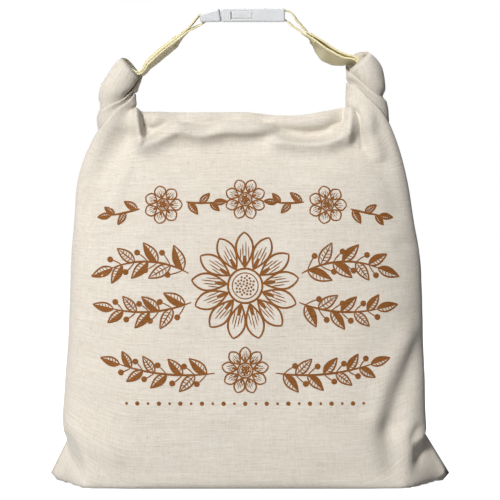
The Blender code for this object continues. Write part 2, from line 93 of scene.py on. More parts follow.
# The roll's section at places along that line: half the height and depth of its outermost turn, how far each
# turn lies inside the one before, and how far the section is moved towards the inside of the bend
ROLL_COLUMNS = ("reach", "rise", "depth", "pitch", "shift")
ROLL = {
    LEFT: (
        (0.0000, 0.0100, 0.0170, 0.0024, 0.0000),
        (0.0600, 0.0101, 0.0170, 0.0024, 0.0000),
        (0.0780, 0.0112, 0.0172, 0.0024, -0.0004),
        (0.0860, 0.0142, 0.0180, 0.0024, -0.0026),
        (0.0936, 0.0168, 0.0188, 0.0030, -0.0042),
        (0.0972, 0.0159, 0.0190, 0.0032, -0.0026),
        (0.1004, 0.0152, 0.0190, 0.0032, -0.0014),
        (0.1050, 0.0145, 0.0190, 0.0032, -0.0002),
        (0.1120, 0.0140, 0.0190, 0.0031, -0.0003),
        (0.1200, 0.0126, 0.0190, 0.0028, 0.0005),
        (0.1275, 0.0113, 0.0188, 0.0022, -0.0002),
        (0.1345, 0.0105, 0.0186, 0.0022, -0.0007),
        (0.1450, 0.0100, 0.0184, 0.0022, -0.0007),
    ),
    RIGHT: (
        (0.0000, 0.0100, 0.0170, 0.0024, 0.0000),
        (0.0600, 0.0101, 0.0170, 0.0024, 0.0000),
        (0.0700, 0.0112, 0.0172, 0.0024, 0.0012),
        (0.0780, 0.0126, 0.0174, 0.0026, 0.0010),
        (0.0860, 0.0158, 0.0184, 0.0030, -0.0020),
        (0.0938, 0.0178, 0.0196, 0.0032, -0.0048),
        (0.0988, 0.0166, 0.0196, 0.0033, -0.0021),
        (0.1063, 0.0157, 0.0194, 0.0033, -0.0005),
        (0.1130, 0.0152, 0.0192, 0.0032, -0.0002),
        (0.1200, 0.0148, 0.0192, 0.0030, -0.0003),
        (0.1280, 0.0137, 0.0190, 0.0026, -0.0010),
        (0.1343, 0.0110, 0.0186, 0.0022, -0.0012),
        (0.1435, 0.0088, 0.0170, 0.0020, -0.0014),
    ),
}
# Where the side seams lie along that line, turn by turn; the turns count from the front's middle inwards
SEAM_COLUMNS = ("turn", "reach")
SEAM = {
    LEFT: (
        (-0.25, 0.0915), (-0.12, 0.0928), (-0.06, 0.0940), (-0.03, 0.0953), (0.012, 0.0973), (0.063, 0.1027),
        (0.106, 0.1088), (0.143, 0.1135), (0.19, 0.1150), (0.30, 0.1140), (0.50, 0.1070), (0.70, 0.1005),
        (0.83, 0.0985), (0.875, 0.0991), (0.935, 0.1009), (1.00, 0.1030), (1.042, 0.1058), (1.07, 0.1085),
        (1.11, 0.1166), (1.148, 0.1250), (1.19, 0.1300), (1.35, 0.1325), (1.50, 0.1362), (1.65, 0.1370),
        (1.83, 0.1348), (2.00, 0.1330), (2.08, 0.1320), (2.17, 0.1315), (2.25, 0.1320),
    ),
    RIGHT: (
        (-0.25, 0.0920), (-0.13, 0.0936), (-0.09, 0.0957), (-0.05, 0.0992), (-0.018, 0.1039), (0.013, 0.1084),
        (0.058, 0.1154), (0.10, 0.1190), (0.15, 0.1215), (0.30, 0.1210), (0.50, 0.1150), (0.70, 0.1080),
        (0.83, 0.1052), (0.875, 0.1057), (0.943, 0.1085), (0.98, 0.1121), (1.015, 0.1160), (1.045, 0.1210),
        (1.08, 0.1275), (1.13, 0.1320), (1.20, 0.1340), (1.35, 0.1385), (1.50, 0.1425), (1.65, 0.1405),
        (1.83, 0.1372), (2.00, 0.1345), (2.08, 0.1338), (2.17, 0.1345), (2.25, 0.1360),
    ),
}
# How far past the end of an outer turn the next one starts to fill its place, and over what length
SPRING_START, SPRING_LENGTH = 0.0015, 0.0075
WRAP_START = 0.25         # share of a turn over which the outermost turn comes to lie over the next
ROLL_START, ROLL_END = -1 / 24, 2.25
TOP_START, TOP_END, BOTTOM_START, BOTTOM_END = 2 / 12, 4 / 12, 8 / 12, 10 / 12
SEAM_CLOSE = 0.004        # the two layers close over this width before the seam

# Folds pressed into the front, along lines in the front view: half widths to the left and right, depth in.
# A ridge has a depth below nought.
FOLDS = (
    # the pull from the left leg down to the side
    (((-0.092, 0.257), (-0.112, 0.228), (-0.118, 0.206)), (0.010,), 0.0040),
    (((-0.082, 0.262), (-0.090, 0.238), (-0.100, 0.214), (-0.106, 0.190)), (0.006,), -0.0018),
    (((-0.124, 0.229), (-0.1225, 0.200), (-0.118, 0.187), (-0.1145, 0.174), (-0.111, 0.160)),
     (0.0045,), 0.0020),
    # the pleat and the pocket beside the left leg
    (((-0.0846, 0.284), (-0.0838, 0.270), (-0.0800, 0.2535)), (0.0040, 0.0018), -0.0058),
    (((-0.0800, 0.2780), (-0.0795, 0.2655)), (0.0010, 0.0060), 0.0105),
    # the pull from the right leg
    (((0.0805, 0.274), (0.0815, 0.264), (0.0835, 0.250)), (0.0019,), 0.0026),
    (((0.0755, 0.286), (0.0752, 0.268), (0.0730, 0.255)), (0.0030,), -0.0034),
    (((0.0860, 0.276), (0.0890, 0.260), (0.0950, 0.244)), (0.0046,), -0.0034),
    (((0.0690, 0.286), (0.0700, 0.272)), (0.0070, 0.0014), 0.0082),
    (((0.096, 0.240), (0.104, 0.222), (0.110, 0.204)), (0.007,), 0.0014),
    (((0.111, 0.178), (0.121, 0.179)), (0.0040,), 0.0016),
    # the slump at the lower right
    (((0.127, 0.106), (0.119, 0.090), (0.111, 0.072), (0.106, 0.057), (0.103, 0.044)), (0.009,), 0.0048),
    (((0.103, 0.044), (0.104, 0.026), (0.108, 0.008)), (0.010,), 0.0042),
    (((0.116, 0.108), (0.106, 0.090), (0.097, 0.070), (0.093, 0.050)), (0.009,), -0.0022),
    (((0.124, 0.042), (0.121, 0.036), (0.123, 0.030), (0.125, 0.020)), (0.0040,), 0.0034),
    # the lower left corner
    (((-0.127, 0.036), (-0.116, 0.028), (-0.100, 0.026)), (0.012,), -0.0022),
    (((-0.133, 0.036), (-0.128, 0.022), (-0.123, 0.008)), (0.0040,), 0.0036),
    # the crest of the billows under the roll, and the hollow between it and the roll
    (((-0.079, 0.2490), (-0.066, 0.2560), (-0.055, 0.2640), (-0.046, 0.2610), (-0.036, 0.2580),
      (-0.027, 0.2610), (-0.019, 0.2640), (-0.003, 0.2630), (0.014, 0.2660)), (0.0060,), -0.0072),
    (((0.020, 0.2520), (0.0436, 0.2500), (0.057, 0.2510), (0.0665, 0.2560), (0.0725, 0.2630)),
     (0.0056,), -0.0072),
    (((-0.0720, 0.2610), (-0.0620, 0.2685), (-0.0530, 0.2735), (-0.0420, 0.2700), (-0.0300, 0.2685),
      (-0.0180, 0.2735), (0.0000, 0.2720), (0.0120, 0.2740)), (0.0046,), 0.0066),
    (((0.0120, 0.2700), (0.0300, 0.2615), (0.0450, 0.2590), (0.0570, 0.2620), (0.0640, 0.2675)),
     (0.0050,), 0.0062),
    (((-0.060, 0.2440), (-0.030, 0.2470), (0.000, 0.2480)), (0.0080,), 0.0010),
)

FOLD_CLEAR = 0.030        # width beside the seam over which the folds fade
FOLD_FLOOR, FOLD_FLOOR_EASE = 0.002, 0.012   # height over which they fade towards the base
FOLD_TURN, FOLD_TURN_EASE = 0.19, 0.13       # shares of a turn over which they fade round the roll
RIPPLE, RIPPLE_SEED = 0.0007, 5
RIPPLE_BACK = 0.3         # moves the ripple's pattern on the back, so that it isn't the front's

# The points of a row lie closer by the legs
THREADS_A_QUARTER = 56
THREAD_SHARES, THREAD_PLACES = (0, 0.28, 0.75, 1), (0, 0.060, 0.100, FLAT_HALF)


def column(table, columns, name):
    return np.array([row[columns.index(name)] for row in table])


def smooth_step(value):
    value = np.clip(value, 0.0, 1.0)
    return value * value * (3 - 2 * value)


def smooth_through(at, knots, values):
    """The smooth curve through the values, read at many places."""
    slopes = np.gradient(values, knots)
    index = np.clip(np.searchsorted(knots, at) - 1, 0, len(knots) - 2)
    span = (knots[1:] - knots[:-1])[index]
    share = np.clip((at - knots[index]) / span, 0.0, 1.0)
    rise = smooth_step(share)
    start = values[index] + slopes[index] * span * share
    end = values[index + 1] - slopes[index + 1] * span * (1 - share)
    return start * (1 - rise) + end * rise


def along_polyline(points, share):
    points = np.array(points, float)
    lengths = np.linalg.norm(np.diff(points, axis=0), axis=1)
    marks = np.concatenate([[0.0], np.cumsum(lengths)]) / lengths.sum()
    return np.stack([np.interp(share, marks, points[:, axis]) for axis in range(points.shape[1])], axis=-1)


class Ring:
    """Thread, side and face of each point round a row: the front from left to right, then the back."""

    def __init__(self):
        evenly = np.linspace(0, 1, THREADS_A_QUARTER + 1)
        half = np.interp(evenly, THREAD_SHARES, THREAD_PLACES)
        across = np.concatenate([-half[::-1], half[1:]])
        back = across[::-1][1:-1]
        signed = np.concatenate([across, back])
        self.signed = signed
        self.thread = np.abs(signed)
        self.side = np.where(signed < 0, LEFT, RIGHT)
        self.face = np.concatenate([np.full(len(across), FRONT), np.full(len(back), BACK)])
        self.front_count = len(across)
        self.at_seam = self.thread > FLAT_HALF - 1e-9


RING = Ring()


def base_row(row):
    """Points of one row of the base, from its middle fold to its front and back edges."""
    points = np.empty((len(RING.thread), 3))
    depth = BASE_HALF_DEPTH * row
    for side in (LEFT, RIGHT):
        seam_x, seam_z = (tip + (top - tip) * row for tip, top in zip(EAR_TIP, EAR_TOP[side]))
        corner_x = float(np.interp(row, *zip(*BASE_SIDES[side])))
        if row:
            run = ((0, depth, FLOOR_GAP), (corner_x, depth, FLOOR_GAP), (seam_x, 0, seam_z))
        else:
            run = ((0, 0, FLOOR_GAP), (EAR_HEEL[0], 0, EAR_HEEL[1]), (seam_x, 0, seam_z))
        chosen = RING.side == side
        points[chosen] = along_polyline(run, RING.thread[chosen] / FLAT_HALF)
    if row:
        points[:, 1] = np.where(RING.at_seam, points[:, 1], np.maximum(points[:, 1], EAR_HALF_GAP))
    points[:, 0] *= RING.side
    points[:, 1] *= RING.face
    return points


def wall_row(height):
    """Points of one row of the walls, named by its height at the front."""
    fronts = column(WALLS, WALL_COLUMNS, "front")
    seam, middle, half_width, half_depth, square = (
        float(smooth_through(np.array([height]), fronts, column(WALLS, WALL_COLUMNS, name))[0])
        for name in WALL_COLUMNS[1:]
    )
    angles = np.linspace(math.pi / 2, 0, 120)
    outline = np.stack(
        [
            half_width * np.abs(np.cos(angles)) ** (2 / square),
            half_depth * np.abs(np.sin(angles)) ** (2 / square),
        ],
        axis=1,
    )
    share = RING.thread / FLAT_HALF
    flat = along_polyline(outline, share)
    z = height + (seam - height) * smooth_step((share - 0.5) / 0.5)
    return np.stack([middle + RING.side * flat[:, 0], RING.face * flat[:, 1], z], axis=1)


def roll_line(reach, side):
    """The roll's middle line at these distances from its middle, and the way to the inside of its bend."""
    middle_x, middle_y, middle_z = ROLL_MIDDLE
    place = np.empty((len(reach), 3))
    inwards = np.empty((len(reach), 3))
    for at_side in (LEFT, RIGHT):
        chosen = side == at_side
        left = reach[chosen].copy()
        x, z, turned = np.zeros_like(left), np.zeros_like(left), np.zeros_like(left)
        for length, turn in ROLL_HALVES[at_side]:
            step = np.minimum(left, length)
            angle = math.radians(turn) * step / length
            if turn:
                radius = length / math.radians(turn)
                ahead, rise = radius * np.sin(angle), radius * (1 - np.cos(angle))
            else:
                ahead, rise = step, 0.0
            x += ahead * np.cos(turned) - rise * np.sin(turned)
            z += ahead * np.sin(turned) + rise * np.cos(turned)
            turned += angle
            left -= step
        x += left * np.cos(turned)
        z += left * np.sin(turned)
        zero = np.zeros_like(x)
        place[chosen] = np.stack([middle_x + at_side * x, zero + middle_y, middle_z + z], axis=1)
        inwards[chosen] = np.stack([-at_side * np.sin(turned), zero, np.cos(turned)], axis=1)
    return place, inwards


def flattened_turn(rise, depth, share):
    """Place and outward normal, up and back, on a turn with straight top and bottom and round ends."""
    flat = depth - rise
    if TOP_START <= share <= TOP_END:
        across = (share - TOP_START) / (TOP_END - TOP_START)
        return rise, flat * (2 * across - 1), 1.0, 0.0
    if BOTTOM_START <= share <= BOTTOM_END:
        across = (share - BOTTOM_START) / (BOTTOM_END - BOTTOM_START)
        return -rise, flat * (1 - 2 * across), -1.0, 0.0
    if TOP_END < share < BOTTOM_START:
        angle = math.pi * (share - TOP_END) / (BOTTOM_START - TOP_END)
        up, out = math.cos(angle), math.sin(angle)
        return rise * up, flat + rise * out, up, out
    after_front = share if share < TOP_START else share - 1
    angle = math.pi / 2 * after_front / TOP_START
    up, out = math.sin(angle), -math.cos(angle)
    return rise * up, rise * out - flat, up, out


def read_table(tables, columns, name, at):
    """A column of the left or the right table for each point of a row, at places along its first column."""
    at = np.broadcast_to(at, RING.thread.shape)
    left, right = (
        smooth_through(at, column(tables[side], columns, columns[0]), column(tables[side], columns, name))
        for side in (LEFT, RIGHT)
    )
    return np.where(RING.side == LEFT, left, right)


def seam_reach(turn):
    """How far along the roll's middle line the side seams reach at this turn, for each point of a row."""
    return read_table(SEAM, SEAM_COLUMNS, "reach", turn)


def roll_row(turn):
    """Points of one row of the rolled cloth. The front cloth lies outside, and both close at the seam."""
    beyond = np.maximum(RING.thread - ROLL_STRAIGHT, 0) / (FLAT_HALF - ROLL_STRAIGHT)
    reach = np.minimum(RING.thread, ROLL_STRAIGHT) + (seam_reach(turn) - ROLL_STRAIGHT) * beyond
    rise, depth, pitch, shift = (read_table(ROLL, ROLL_COLUMNS, name, reach) for name in ROLL_COLUMNS[1:])
    ended = np.zeros_like(reach)
    for outer in (turn - 1, turn - 2):
        if outer > -WRAP_START:
            past = smooth_step((reach - seam_reach(outer) - SPRING_START) / SPRING_LENGTH)
            ended += past * smooth_step((outer + WRAP_START) / WRAP_START)
    inside = pitch * (turn - ended)
    up, out, normal_up, normal_out = flattened_turn(rise - inside, depth - inside, turn % 1.0)
    close = smooth_step((FLAT_HALF - RING.thread) / SEAM_CLOSE)
    layer = -RING.face * LAYER_GAP / 2 * close
    middle, inwards = roll_line(reach, RING.side)
    points = middle + inwards * (up + shift + normal_up * layer)[:, None]
    points[:, 1] += out + normal_out * layer
    return points


def shoulder_row(share):
    """Points of one row between the top wall ring and the roll."""
    start, before = wall_row(WALL_TOP), wall_row(WALLS[-2][0])
    end, after = roll_row(ROLL_START), roll_row(ROLL_START + 0.02)
    leaves = start - before
    leaves *= SHOULDER_LEAVES / np.linalg.norm(leaves, axis=1)[:, None]
    meets = after - end
    meets *= SHOULDER_MEETS / np.linalg.norm(meets, axis=1)[:, None]
    square, cube = share * share, share ** 3
    return (
        (2 * cube - 3 * square + 1) * start
        + (cube - 2 * square + share) * leaves
        + (3 * square - 2 * cube) * end
        + (cube - square) * meets
    )


def fold_depth(x, z, folds):
    """How far the folds press the cloth in at these places of the front view."""
    total = np.zeros_like(x)
    for line, half_widths, depth in folds:
        nearest, width = np.full_like(x, 1e9), np.ones_like(x)
        for (from_x, from_z), (to_x, to_z) in zip(line, line[1:]):
            step_x, step_z = to_x - from_x, to_z - from_z
            share = ((x - from_x) * step_x + (z - from_z) * step_z) / (step_x ** 2 + step_z ** 2)
            share = np.clip(share, 0, 1)
            off_x, off_z = x - from_x - share * step_x, z - from_z - share * step_z
            away = np.hypot(off_x, off_z)
            width = np.where(away < nearest, np.where(off_x < 0, half_widths[0], half_widths[-1]), width)
            nearest = np.minimum(nearest, away)
        total += depth * np.exp(-((nearest / width) ** 2))
    return total


def ripple(x, z, seed):
    """A soft unevenness, a sum of slow waves at mixed angles, between about -1 and 1."""
    rng = np.random.default_rng(seed)
    total = np.zeros_like(x)
    for _ in range(9):
        angle, length, phase = rng.uniform(0, math.pi), rng.uniform(0.03, 0.11), rng.uniform(0, 2 * math.pi)
        total += np.sin((x * math.cos(angle) + z * math.sin(angle)) * 2 * math.pi / length + phase)
    return total / 4.5


def grid_normals(grid):
    """Unit normals of a grid of rows that close round, pointing out of the bag."""
    around = np.roll(grid, -1, axis=1) - np.roll(grid, 1, axis=1)
    along = np.gradient(grid, axis=0)
    normals = np.cross(around, along)
    return normals / (np.linalg.norm(normals, axis=2)[:, :, None] + 1e-12)


def cloth_grid():
    """Every row of the cloth, and the index of the first row of the walls, the shoulder and the roll."""
    base = [base_row(share) for share in BASE_SHARES]
    walls = [wall_row(height) for height in np.linspace(WALL_FOOT, WALL_TOP, WALL_ROWS)]
    shoulder = [shoulder_row(share) for share in np.linspace(0, 1, SHOULDER_ROWS + 2)[1:-1]]
    roll = [roll_row(turn) for turn in np.linspace(ROLL_START, ROLL_END, ROLL_ROWS)]
    grid = np.array(base + walls + shoulder + roll)
    return grid, len(base), len(base) + len(walls), len(base) + len(walls) + len(shoulder)


def soften(grid, low, high, rounds):
    """Rounds the rows from low to high by easing each point towards its neighbours."""
    for _ in range(rounds):
        eased = grid.copy()
        near = (np.roll(grid, 1, axis=1) + np.roll(grid, -1, axis=1)) / 2
        over = (grid[low - 1:high - 1] + grid[low + 1:high + 1]) / 2
        eased[low:high] = 0.5 * grid[low:high] + 0.2 * near[low:high] + 0.3 * over
        eased[:, RING.at_seam] = grid[:, RING.at_seam]
        grid = eased
    grid[:, :, 2] = np.maximum(grid[:, :, 2], FLOOR_GAP)
    return grid


def shaped_cloth():
    """The cloth with its folds, and the index of the first row of the walls and of the roll."""
    grid, first_wall, first_shoulder, first_roll = cloth_grid()
    grid = soften(grid, first_wall - 3, first_wall + 4, 3)
    x, z = grid[:, :, 0], grid[:, :, 2]
    rows = np.arange(len(grid))[:, None]
    on_front = (RING.face == FRONT)[None, :]
    clear_of_seam = smooth_step((FLAT_HALF - RING.thread) / FOLD_CLEAR)[None, :]
    above_base = smooth_step((z - FOLD_FLOOR) / FOLD_FLOOR_EASE)
    turn = np.linspace(ROLL_START, ROLL_END, ROLL_ROWS)
    facing = np.ones(len(grid))
    facing[first_roll:] = smooth_step((FOLD_TURN - np.abs(turn - np.round(turn))) / FOLD_TURN_EASE)
    # Up the shoulder the back cloth takes on the front's folds, moving the same way as the front
    up_shoulder = smooth_step((rows - first_shoulder) / (first_roll - first_shoulder))
    share = np.where(on_front, 1.0, up_shoulder ** 2)
    way = np.where(on_front, 1.0, -1.0)
    push = -fold_depth(x, z, FOLDS) * share * clear_of_seam * facing[:, None] * above_base * way
    below_roll = 1 - smooth_step((rows - first_roll + 6) / 12)
    uneven = clear_of_seam * below_roll * above_base
    push += RIPPLE * ripple(x, z + RIPPLE_BACK * ~on_front, RIPPLE_SEED) * uneven
    grid = grid + grid_normals(grid) * push[:, :, None]
    grid[:, :, 2] = np.maximum(grid[:, :, 2], FLOOR_GAP)
    return grid, first_wall, first_roll


def mesh_piece(name, points, faces, material, uv):
    mesh = bpy.data.meshes.new(name)
    mesh.from_pydata([tuple(point) for point in points], [], faces)
    mesh.validate()
    mesh.shade_smooth()
    mesh.materials.append(material)
    layer = mesh.uv_layers.new(name="UVMap")
    corners = np.empty(len(mesh.loops), dtype=np.int32)
    mesh.loops.foreach_get("vertex_index", corners)
    layer.data.foreach_set("uv", np.asarray(uv)[corners].astype(np.float32).ravel())
    obj = bpy.data.objects.new(name, mesh)
    bpy.context.scene.collection.objects.link(obj)
    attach(obj, "root")
    return obj


def thicken(obj, thickness):
    shell = obj.modifiers.new("Thickness", "SOLIDIFY")
    shell.thickness = thickness
    shell.offset = 0


WHITE = (1, 1, 1)


def node(tree, kind, **inputs):
    """A shader node with some inputs set by name; spaces in names are written as underscores."""
    made = tree.nodes.new(kind)
    for name, value in inputs.items():
        made.inputs[name.replace("_", " ")].default_value = value
    return made


def math_node(tree, operation, first, second):
    made = tree.nodes.new("ShaderNodeMath")
    made.operation = operation
    for index, value in enumerate((first, second)):
        if isinstance(value, (int, float)):
            made.inputs[index].default_value = value
        else:
            tree.links.new(value, made.inputs[index])
    return made.outputs[0]


def stretched_noise(tree, source, across, along, detail=2.0, roughness=0.5, shift=0.0):
    """Noise that is finer one way than the other, by its scale across and along the cloth."""
    mapping = tree.nodes.new("ShaderNodeMapping")
    mapping.inputs["Scale"].default_value = (across, along, 1)
    mapping.inputs["Location"].default_value = (shift, shift * 0.7, shift * 0.3)
    tree.links.new(source, mapping.inputs["Vector"])
    noise = node(tree, "ShaderNodeTexNoise", Scale=1.0, Detail=detail, Roughness=roughness)
    tree.links.new(mapping.outputs[0], noise.inputs["Vector"])
    return noise.outputs["Fac"]


def ramp(tree, source, stops):
    made = tree.nodes.new("ShaderNodeValToRGB")
    elements = made.color_ramp.elements
    while len(elements) < len(stops):
        elements.new(0.5)
    for element, (place, colour) in zip(elements, stops):
        element.position = place
        element.color = (*colour, 1)
    tree.links.new(source, made.inputs["Fac"])
    return made.outputs["Color"]


def multiply(tree, first, second, amount=1.0):
    made = tree.nodes.new("ShaderNodeMix")
    made.data_type = "RGBA"
    made.blend_type = "MULTIPLY"
    made.inputs["Factor"].default_value = amount
    tree.links.new(first, made.inputs["A"])
    tree.links.new(second, made.inputs["B"])
    return made.outputs["Result"]


def new_material(name, roughness):
    material = bpy.data.materials.new(name)
    material.use_nodes = True
    tree = material.node_tree
    shader = tree.nodes["Principled BSDF"]
    shader.inputs["Roughness"].default_value = roughness
    return material, tree, shader


def add_bump(tree, shader, heights, strength, distance):
    bump = node(tree, "ShaderNodeBump", Strength=strength, Distance=distance)
    tree.links.new(heights, bump.inputs["Height"])
    tree.links.new(bump.outputs["Normal"], shader.inputs["Normal"])


def cloth_heights(tree, uv):
    """Slubbed threads across the cloth with finer warp threads up it."""
    slubs = stretched_noise(tree, uv, across=30, along=800, detail=3.0, roughness=0.6)
    weft = stretched_noise(tree, uv, across=160, along=1500, shift=3.1)
    warp = stretched_noise(tree, uv, across=1350, along=120, shift=7.7)
    fine = math_node(tree, "MULTIPLY", math_node(tree, "ADD", weft, warp), 0.45)
    heights = math_node(tree, "ADD", math_node(tree, "MULTIPLY", slubs, 0.9), fine)
    return slubs, heights, weft, warp


def cloth_material():
    material, tree, shader = new_material("slubbed_cotton", 0.86)
    uv = tree.nodes.new("ShaderNodeUVMap").outputs["UV"]
    slubs, heights, weft, warp = cloth_heights(tree, uv)
    stops = (
        (0.28, (0.640, 0.585, 0.508)),
        (0.50, (0.700, 0.648, 0.574)),
        (0.72, (0.742, 0.692, 0.620)),
    )
    tone = ramp(tree, slubs, stops)
    threads = ramp(tree, weft, ((0.32, (0.90, 0.89, 0.87)), (0.62, WHITE)))
    warps = ramp(tree, warp, ((0.30, (0.93, 0.92, 0.90)), (0.60, WHITE)))
    cloud = stretched_noise(tree, uv, across=18, along=18, shift=1.7)
    patches = ramp(tree, cloud, ((0.35, (0.985, 0.980, 0.972)), (0.65, WHITE)))
    specks = stretched_noise(tree, uv, across=260, along=900, detail=1.0, shift=9.2)
    flecks = ramp(tree, specks, ((0.24, (0.70, 0.60, 0.46)), (0.30, WHITE)))
    colour = multiply(tree, multiply(tree, tone, threads), warps)
    colour = multiply(tree, multiply(tree, colour, patches), flecks, 0.6)
    tree.links.new(colour, shader.inputs["Base Color"])
    shader.inputs["Sheen Weight"].default_value = 0.25
    shader.inputs["Sheen Roughness"].default_value = 0.5
    shader.inputs["Specular IOR Level"].default_value = 0.25
    add_bump(tree, shader, heights, 0.35, 0.0006)
    return material


def ink_material():
    """The brown print, broken a little by the threads that it lies on."""
    material, tree, shader = new_material("brown_ink", 0.8)
    uv = tree.nodes.new("ShaderNodeUVMap").outputs["UV"]
    _, heights, weft, warp = cloth_heights(tree, uv)
    tone = ramp(tree, weft, ((0.34, (0.185, 0.064, 0.010)), (0.66, (0.270, 0.100, 0.022))))
    warps = ramp(tree, warp, ((0.30, (0.88, 0.86, 0.84)), (0.60, WHITE)))
    tree.links.new(multiply(tree, tone, warps), shader.inputs["Base Color"])
    shader.inputs["Specular IOR Level"].default_value = 0.2
    add_bump(tree, shader, heights, 0.35, 0.0006)
    return material


def webbing_material():
    """Ribbed straw-yellow tape."""
    material, tree, shader = new_material("straw_webbing", 0.78)
    uv = tree.nodes.new("ShaderNodeUVMap").outputs["UV"]
    ribs = stretched_noise(tree, uv, across=1300, along=420)
    picks = stretched_noise(tree, uv, across=500, along=1700, shift=4.0)
    tone = ramp(tree, ribs, ((0.32, (0.76, 0.67, 0.38)), (0.64, (0.86, 0.78, 0.48))))
    crossing = ramp(tree, picks, ((0.32, (0.90, 0.88, 0.84)), (0.60, WHITE)))
    tree.links.new(multiply(tree, tone, crossing), shader.inputs["Base Color"])
    shader.inputs["Sheen Weight"].default_value = 0.2
    add_bump(tree, shader, math_node(tree, "ADD", ribs, picks), 0.12, 0.0002)
    return material


def plastic_material():
    material, tree, shader = new_material("white_plastic", 0.33)
    place = tree.nodes.new("ShaderNodeTexCoord").outputs["Object"]
    grain = node(tree, "ShaderNodeTexNoise", Scale=1400.0, Detail=2.0)
    cloud = node(tree, "ShaderNodeTexNoise", Scale=60.0, Detail=2.0)
    for noise in (grain, cloud):
        tree.links.new(place, noise.inputs["Vector"])
    tone = ramp(tree, cloud.outputs["Fac"], ((0.3, (0.57, 0.58, 0.59)), (0.7, (0.63, 0.64, 0.65))))
    tree.links.new(tone, shader.inputs["Base Color"])
    rough = node(tree, "ShaderNodeMapRange", To_Min=0.28, To_Max=0.42)
    tree.links.new(cloud.outputs["Fac"], rough.inputs["Value"])
    tree.links.new(rough.outputs[0], shader.inputs["Roughness"])
    shader.inputs["Subsurface Weight"].default_value = 0.1
    shader.inputs["Subsurface Radius"].default_value = (0.002, 0.002, 0.002)
    add_bump(tree, shader, grain.outputs["Fac"], 0.08, 0.0002)
    return material


def open_faces(rows, across):
    """Faces of a grid of rows that don't close round."""
    return [
        (row * across + i, row * across + i + 1, (row + 1) * across + i + 1, (row + 1) * across + i)
        for row in range(rows - 1)
        for i in range(across - 1)
    ]


def closed_faces(rows, around):
    """Faces of a grid of rows that close round."""
    faces = []
    for row in range(rows - 1):
        low, high = row * around, (row + 1) * around
        for step in range(around):
            after = (step + 1) % around
            faces.append((low + step, low + after, high + after, high + step))
    return faces


BACK_UV = 0.7             # moves the back in the UV map, so that its threads aren't the front's


def make_cloth(material):
    """Makes the cloth and returns the part of its grid that the print can lie on."""
    grid, first_wall, first_roll = shaped_cloth()
    rows, around = grid.shape[:2]
    lengths = np.linalg.norm(np.diff(grid[:, RING.front_count // 2], axis=0), axis=1)
    height = np.concatenate([[0.0], np.cumsum(lengths)])
    across = RING.signed + np.where(RING.face == BACK, BACK_UV, 0.0)
    uv = np.stack(np.broadcast_arrays(across[None, :], height[:, None]), axis=2).reshape(-1, 2)
    # The base's middle fold: its front and back points are the same, so the back ones are dropped
    joined = {step: around - step for step in range(around // 2 + 1, around)}
    used = np.array([index not in joined for index in range(rows * around)])
    number = np.cumsum(used) - 1
    faces = [
        tuple(int(number[joined.get(point, point)]) for point in face) for face in closed_faces(rows, around)
    ]
    cloth = mesh_piece("cloth_sheet", grid.reshape(-1, 3)[used], faces, material, uv[used])
    thicken(cloth, SHEET)
    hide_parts("bag_cloth")
    return grid[first_wall:first_roll, : RING.front_count]


IN_FRONT = -0.2           # a y well in front of the cloth


class FrontCloth:
    """Finds the place on the front of the cloth that lies behind a point of the front view."""

    def __init__(self, front):
        points = [Vector(point) for point in front.reshape(-1, 3)]
        self.tree = BVHTree.FromPolygons(points, open_faces(*front.shape[:2]))

    def place(self, x, z, proud):
        hit, normal, _, _ = self.tree.ray_cast(Vector((x, IN_FRONT, z)), Vector((0, 1, 0)))
        if normal.y > 0:
            normal = -normal
        return hit + normal * proud


PROUD = 0.0005            # how far the print's faces stand in front of the middle of the cloth
PROUD_STEP = 0.00002      # strokes that cross lie this much apart, in five levels by turns
STROKE_STEP = 0.0016
SPOT_CORNERS = 12
GOLDEN_ANGLE = math.radians(137.5)
PRINT_MIDDLE = -0.0035    # x of the middle of the print
DOTS, DOT_PITCH = 23, 0.0078


class Print:
    """Collects flat strokes and spots in the front view, then lays them on the cloth."""

    def __init__(self, cloth):
        self.cloth, self.points, self.faces, self.uv, self.count = cloth, [], [], [], 0

    def add(self, outline, faces):
        first = len(self.points)
        self.count += 1
        proud = PROUD + PROUD_STEP * (self.count % 5)
        for x, z in outline:
            self.points.append(self.cloth.place(x, z, proud))
            self.uv.append((x, z))
        self.faces += [tuple(first + index for index in face) for face in faces]

    def stroke(self, line, width, taper):
        """A brush line of this width through the points; its ends narrow to taper times the width."""
        line = np.asarray(line, float)
        lengths = np.linalg.norm(np.diff(line, axis=0), axis=1)
        marks = np.concatenate([[0.0], np.cumsum(lengths)])
        count = max(3, int(marks[-1] / STROKE_STEP) + 1)
        at = np.linspace(0, marks[-1], count)
        line = np.stack([np.interp(at, marks, line[:, axis]) for axis in (0, 1)], axis=1)
        ahead = np.gradient(line, axis=0)
        ahead /= np.linalg.norm(ahead, axis=1)[:, None] + 1e-12
        sideways = np.stack([-ahead[:, 1], ahead[:, 0]], axis=1)
        swell = taper + (1 - taper) * np.sin(np.linspace(0.0, math.pi, count)) ** 0.6
        half = width / 2 * swell[:, None]
        outline = np.concatenate([line + sideways * half, line - sideways * half])
        faces = [(i + 1, i, count + i, count + i + 1) for i in range(count - 1)]
        self.add(outline, faces)

    def band(self, first_line, second_line):
        """Fills the strip between two lines of as many points."""
        count = len(first_line)
        faces = [(i + 1, i, count + i, count + i + 1) for i in range(count - 1)]
        self.add(list(first_line) + list(second_line), faces)

    def spot(self, x, z, radius):
        angles = np.linspace(0, 2 * math.pi, SPOT_CORNERS, endpoint=False)
        outline = [(x, z)] + [(x + radius * np.cos(angle), z + radius * np.sin(angle)) for angle in angles]
        self.add(outline, [(0, 1 + i, 1 + (i + 1) % SPOT_CORNERS) for i in range(SPOT_CORNERS)])


